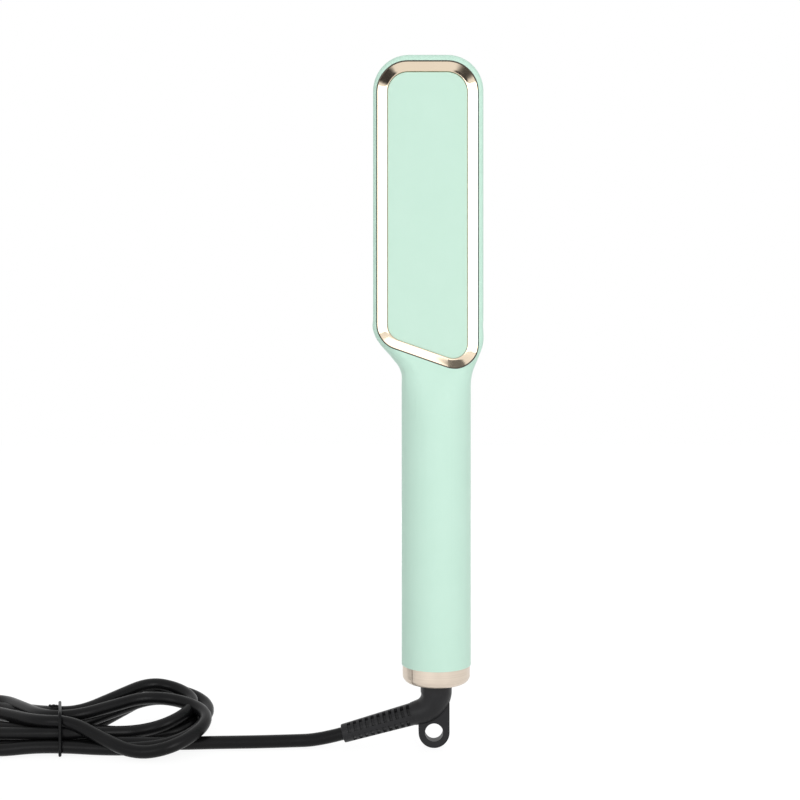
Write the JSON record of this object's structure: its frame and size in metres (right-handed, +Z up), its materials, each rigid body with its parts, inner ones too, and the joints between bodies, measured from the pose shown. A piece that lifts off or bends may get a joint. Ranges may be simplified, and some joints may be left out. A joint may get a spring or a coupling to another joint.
{
  "type": "hot comb",
  "caption": "Electric hot comb: round handle, flat head with a heated blade comb between guard teeth, trim ring on the back, push keys and a swivelling mains cord with a hanging tab",
  "frame": {"origin": "on the handle's axis, in the middle of the grip", "axes": "+Z up the handle to the head, +Y out of the comb side, -Y out of the back panel"},
  "size_m": [0.333, 0.0802, 0.2972],
  "materials": {
    "mint": "soft-touch mint coating",
    "gold_mirror": "mirror champagne-gold plating",
    "gold_satin": "satin champagne-gold",
    "black_resin": "heat-resistant black resin, fine grain",
    "black_gloss": "glossy black",
    "aluminium": "machined, ceramic coated",
    "ceramic": "white ceramic, modelled as matt plastic",
    "mica": "mica sheet",
    "steel": "zinc-plated steel",
    "brass": "brass, nickel on the pins",
    "board": "green circuit board",
    "component": "electronic component",
    "clear": "translucent light guide",
    "white_plastic": "white plastic",
    "cord_rubber": "black PVC cord sheath",
    "black_soft": "soft black moulding"
  },
  "bodies": {
    "comb_body": {"back_shell": "mint", "front_shell": "mint", "back_panel": "mint", "ring_trim": "gold_mirror", "collar_left": "gold_satin", "collar_right": "gold_satin", "comb_frame": "black_resin", "left_teeth": "black_resin", "right_teeth": "black_resin", "heater_plate": "aluminium", "heater_slabs": "ceramic", "insulation_sheet": "mica", "clamp_plate": "steel", "clamp_screws": "steel", "case_screws": "steel", "thermal_fuse": "component", "thermistor": "component", "control_panel": "black_gloss", "tact_switches": "component", "indicator_leds": "white_plastic", "light_guide": "clear", "circuit_board": "board", "board_screws": "steel", "film_capacitor": "white_plastic", "triac": "component", "control_chip": "component", "contact_block": "white_plastic", "brush_contacts": "brass"},
    "cord_side": {"swivel_hub": "black_resin", "slip_rings": "brass", "cord_elbow": "black_soft", "strain_relief": "black_soft", "cord": "cord_rubber", "cord_hank": "cord_rubber", "hank_tie": "cord_rubber", "cord_tail": "cord_rubber", "plug_body": "black_soft", "plug_pins": "brass", "pin_sleeves": "black_resin"},
    "power_key": {"power_button": "gold_satin", "power_plunger": "component"},
    "plus_key": {"plus_button": "gold_satin", "plus_plunger": "component"},
    "minus_key": {"minus_button": "gold_satin", "minus_plunger": "component"}
  },
  "joints": [
    {"name": "cord_swivel", "type": "hinge", "parent": "comb_body", "child": "cord_side", "pos_m": [0, 0, -0.0656], "axis": [0, 0, 1], "continuous": true},
    {"name": "power_press", "type": "slide", "parent": "comb_body", "child": "power_key", "axis": [0, -1, 0], "range_m": [0, 0.0005], "stiffness_N_per_m": 400, "springref_m": -0.002},
    {"name": "plus_press", "type": "slide", "parent": "comb_body", "child": "plus_key", "axis": [0, -1, 0], "range_m": [0, 0.0005], "stiffness_N_per_m": 400, "springref_m": -0.002},
    {"name": "minus_press", "type": "slide", "parent": "comb_body", "child": "minus_key", "axis": [0, -1, 0], "range_m": [0, 0.0005], "stiffness_N_per_m": 400, "springref_m": -0.002}
  ]
}
